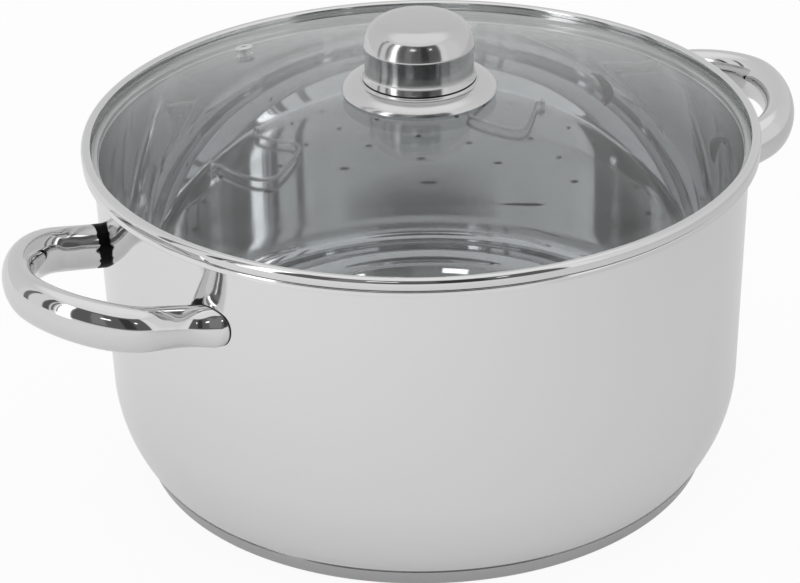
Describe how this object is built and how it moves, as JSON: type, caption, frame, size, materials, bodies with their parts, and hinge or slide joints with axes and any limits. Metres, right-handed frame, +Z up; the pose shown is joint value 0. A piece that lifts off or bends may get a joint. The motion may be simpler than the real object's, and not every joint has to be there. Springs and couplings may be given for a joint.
{
  "type": "water bath canner",
  "caption": "Low stainless water bath canner with tube loop handles, a domed glass lid in a steel band with a metal knob, and a perforated jar rack with folding bails.",
  "frame": {"origin": "centre of the pot's base, on the surface it stands on", "axes": "+Z up along the pot's axis, +X through the right handle, the left handle on -X"},
  "size_m": [0.4288, 0.32, 0.2193],
  "materials": {
    "pot_steel": "polished stainless",
    "cap_steel": "satin stainless",
    "core_aluminium": "pressed, sealed in",
    "handle_steel": "mirror-polished stainless tube",
    "lid_glass": "clear tempered",
    "band_steel": "polished stainless strip",
    "hardware_steel": "bright stainless",
    "knob_steel": "polished side and satin top",
    "knob_filler": "moulded, heat resistant",
    "nut_brass": "machined",
    "bezel_steel": "polished stainless",
    "gasket_rubber": "moulded silicone",
    "bush_plastic": "moulded",
    "rack_steel": "polished pressed sheet",
    "bail_wire": "drawn wire"
  },
  "bodies": {
    "pot": {"pot_body": "pot_steel", "base_core": "core_aluminium", "base_cap": "cap_steel", "left_handle": "handle_steel", "right_handle": "handle_steel"},
    "lid": {"lid_glass": "lid_glass", "lid_band": "band_steel", "vent_eyelet": "hardware_steel", "knob_shell": "knob_steel", "knob_core": "knob_filler", "knob_nut": "nut_brass", "knob_bezel": "bezel_steel", "upper_gasket": "gasket_rubber", "lower_gasket": "gasket_rubber", "glass_bush": "bush_plastic", "screw_washer": "hardware_steel", "lock_washer": "hardware_steel", "lid_screw": "hardware_steel"},
    "rack": {"rack_plate": "rack_steel", "rack_feet": "rack_steel", "rack_bail_lugs": "rack_steel"},
    "left_bail": {"rack_left_bail": "bail_wire"},
    "right_bail": {"rack_right_bail": "bail_wire"}
  },
  "joints": [
    {"name": "lid_lift", "type": "slide", "parent": "pot", "child": "lid", "axis": [0, 0, 1], "range_m": [0, 0.15]},
    {"name": "rack_lift", "type": "slide", "parent": "pot", "child": "rack", "axis": [0, 0, 1], "range_m": [0, 0.08]},
    {"name": "left_bail_fold", "type": "hinge", "parent": "rack", "child": "left_bail", "pos_m": [-0.112, 0, 0.01703], "axis": [0, -1, 0], "range_deg": [0, 95]},
    {"name": "right_bail_fold", "type": "hinge", "parent": "rack", "child": "right_bail", "pos_m": [0.112, 0, 0.01703], "axis": [0, 1, 0], "range_deg": [0, 95]}
  ]
}
